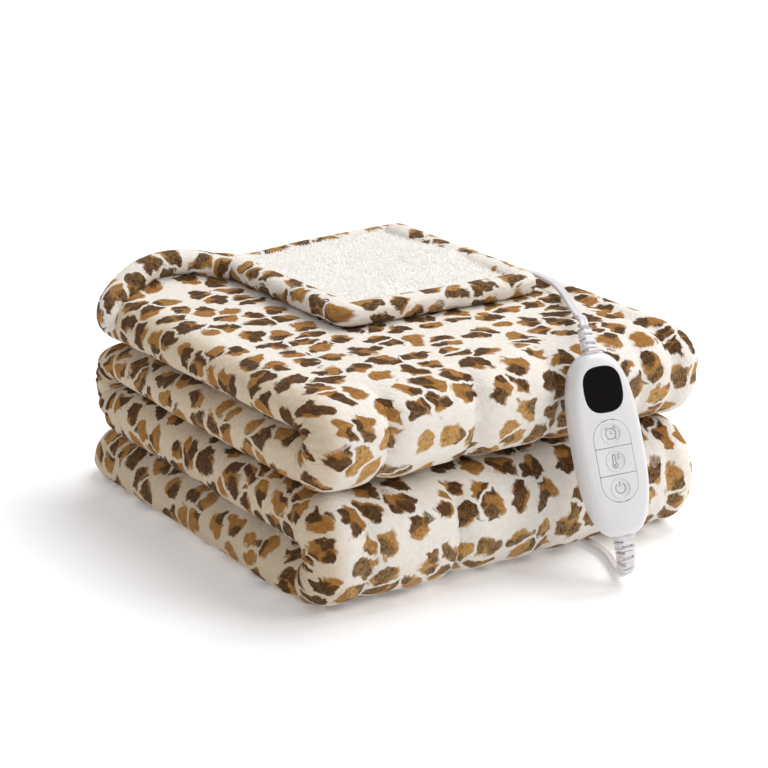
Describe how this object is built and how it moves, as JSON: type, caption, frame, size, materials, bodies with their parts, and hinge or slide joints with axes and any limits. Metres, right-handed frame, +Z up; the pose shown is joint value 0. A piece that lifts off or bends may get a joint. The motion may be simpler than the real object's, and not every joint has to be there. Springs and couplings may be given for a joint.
{
  "type": "folded electric heated throw with hand controller",
  "caption": "Plush heated throw in an animal print, folded into a stack with its curly-lined end turned back, a wired hand controller leaning on the front and a coiled mains lead behind",
  "frame": {"origin": "on the floor, under the middle of the stack and controller taken together, with the coiled mains lead and plug left out", "axes": "+Z up; -Y is the front, where the long folds face and the controller leans; +X is to the right as seen from the front"},
  "size_m": [0.3174, 0.5176, 0.1708],
  "materials": {
    "leopard_plush": "short dense plush pile, cream ground with ochre and dark brown spots, soft and matt; the turned-back end shows the curly white sherpa side",
    "white_gloss_plastic": "smooth white moulded plastic with a soft gloss",
    "black_display": "polished black display window, unlit",
    "clear_white_vinyl": "milky white soft vinyl with a faint sheen",
    "nickel_blades": "plain nickel-plated blades"
  },
  "bodies": {
    "throw": {"blanket": "leopard_plush", "controller_front": "white_gloss_plastic", "controller_back": "white_gloss_plastic", "display": "black_display", "boot_top": "clear_white_vinyl", "boot_bottom": "clear_white_vinyl", "lead_cord": "clear_white_vinyl", "mains_cord": "clear_white_vinyl", "mains_coil": "clear_white_vinyl", "plug_body": "clear_white_vinyl", "plug_blade_wide": "nickel_blades", "plug_blade_narrow": "nickel_blades"},
    "timer_key": {"key_timer": "white_gloss_plastic"},
    "heat_key": {"key_heat": "white_gloss_plastic"},
    "power_key": {"key_power": "white_gloss_plastic"}
  },
  "joints": [
    {"name": "timer_press", "type": "slide", "parent": "throw", "child": "timer_key", "axis": [0.2444, 0.9, -0.3609], "range_m": [0, 0.0008], "stiffness_N_per_m": 400},
    {"name": "heat_press", "type": "slide", "parent": "throw", "child": "heat_key", "axis": [0.2444, 0.9, -0.3609], "range_m": [0, 0.0008], "stiffness_N_per_m": 400},
    {"name": "power_press", "type": "slide", "parent": "throw", "child": "power_key", "axis": [0.2444, 0.9, -0.3609], "range_m": [0, 0.0008], "stiffness_N_per_m": 400}
  ]
}
